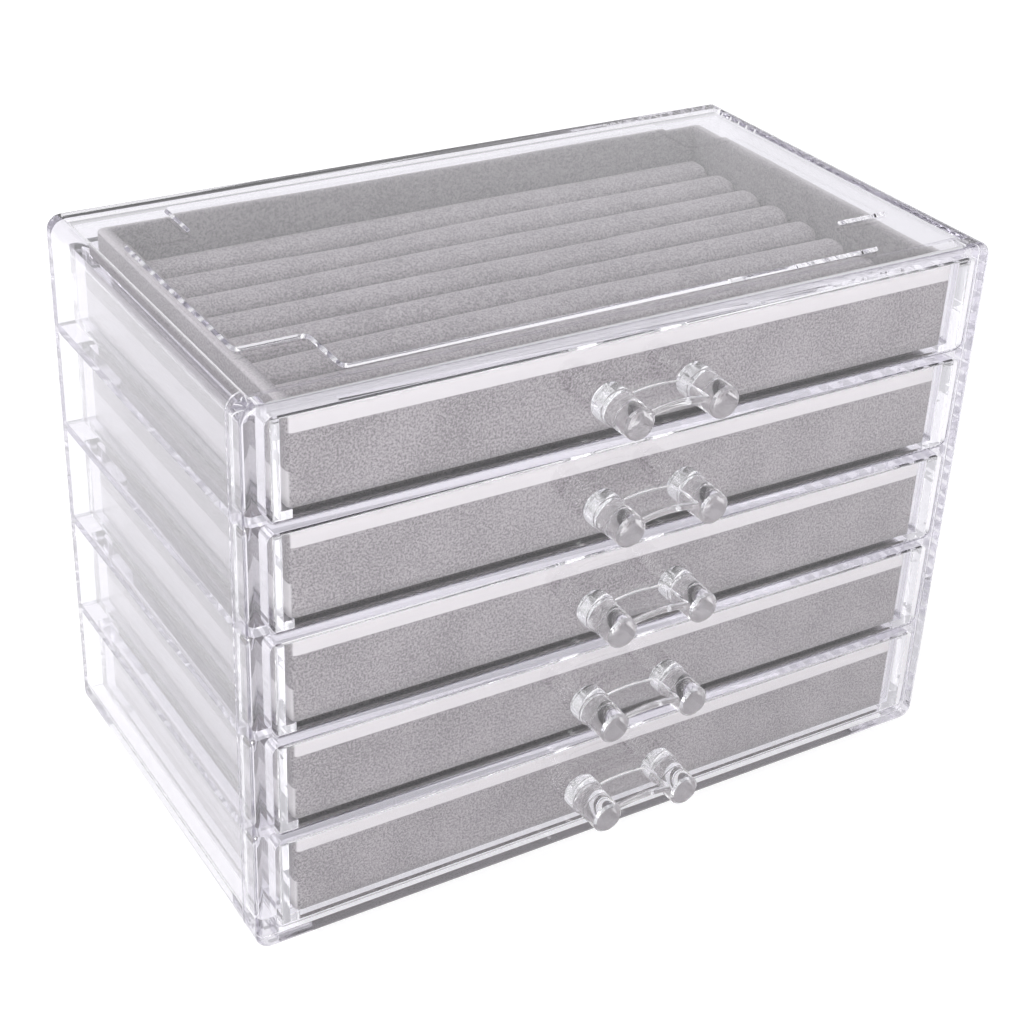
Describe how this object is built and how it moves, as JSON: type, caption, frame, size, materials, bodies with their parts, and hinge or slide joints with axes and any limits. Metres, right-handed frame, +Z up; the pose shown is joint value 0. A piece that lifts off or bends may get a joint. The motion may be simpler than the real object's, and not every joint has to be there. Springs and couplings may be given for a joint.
{
  "type": "jewellery drawer box",
  "caption": "Clear acrylic table-top jewellery box with pull-out drawers lined in grey velvet, ring rolls in the top one and a moulded twin-post handle on each.",
  "frame": {"origin": "centre of the case's footprint, on the surface it stands on", "axes": "+X to the right seen from the front, -Y to the front, where the drawers pull out, +Z up"},
  "size_m": [0.235, 0.1493, 0.168],
  "materials": {
    "clear_acrylic": "gloss",
    "grey_velvet": "matte"
  },
  "bodies": {
    "case": {"case_shell": "clear_acrylic", "front_frame": "clear_acrylic", "corner_feet": "clear_acrylic", "shelf_1": "clear_acrylic", "shelf_2": "clear_acrylic", "shelf_3": "clear_acrylic", "shelf_4": "clear_acrylic"},
    "drawer_1": {"drawer_1_tray": "clear_acrylic", "drawer_1_handle": "clear_acrylic", "drawer_1_liner": "grey_velvet", "drawer_1_floor_pad": "grey_velvet", "ring_roll_1": "grey_velvet", "ring_roll_2": "grey_velvet", "ring_roll_3": "grey_velvet", "ring_roll_4": "grey_velvet", "ring_roll_5": "grey_velvet", "ring_roll_6": "grey_velvet", "ring_roll_7": "grey_velvet", "ring_roll_8": "grey_velvet"},
    "drawer_2": {"drawer_2_tray": "clear_acrylic", "drawer_2_handle": "clear_acrylic", "drawer_2_liner": "grey_velvet", "drawer_2_floor_pad": "grey_velvet", "drawer_2_long_divider": "grey_velvet", "drawer_2_cross_dividers": "grey_velvet"},
    "drawer_3": {"drawer_3_tray": "clear_acrylic", "drawer_3_handle": "clear_acrylic", "drawer_3_liner": "grey_velvet", "drawer_3_floor_pad": "grey_velvet", "drawer_3_channel_dividers": "grey_velvet"},
    "drawer_4": {"drawer_4_tray": "clear_acrylic", "drawer_4_handle": "clear_acrylic", "drawer_4_liner": "grey_velvet", "drawer_4_floor_pad": "grey_velvet"},
    "drawer_5": {"drawer_5_tray": "clear_acrylic", "drawer_5_handle": "clear_acrylic", "drawer_5_liner": "grey_velvet", "drawer_5_floor_pad": "grey_velvet"}
  },
  "joints": [
    {"name": "drawer_1_slide", "type": "slide", "parent": "case", "child": "drawer_1", "axis": [0, -1, 0], "range_m": [0, 0.11]},
    {"name": "drawer_2_slide", "type": "slide", "parent": "case", "child": "drawer_2", "axis": [0, -1, 0], "range_m": [0, 0.11]},
    {"name": "drawer_3_slide", "type": "slide", "parent": "case", "child": "drawer_3", "axis": [0, -1, 0], "range_m": [0, 0.11]},
    {"name": "drawer_4_slide", "type": "slide", "parent": "case", "child": "drawer_4", "axis": [0, -1, 0], "range_m": [0, 0.11]},
    {"name": "drawer_5_slide", "type": "slide", "parent": "case", "child": "drawer_5", "axis": [0, -1, 0], "range_m": [0, 0.11]}
  ]
}
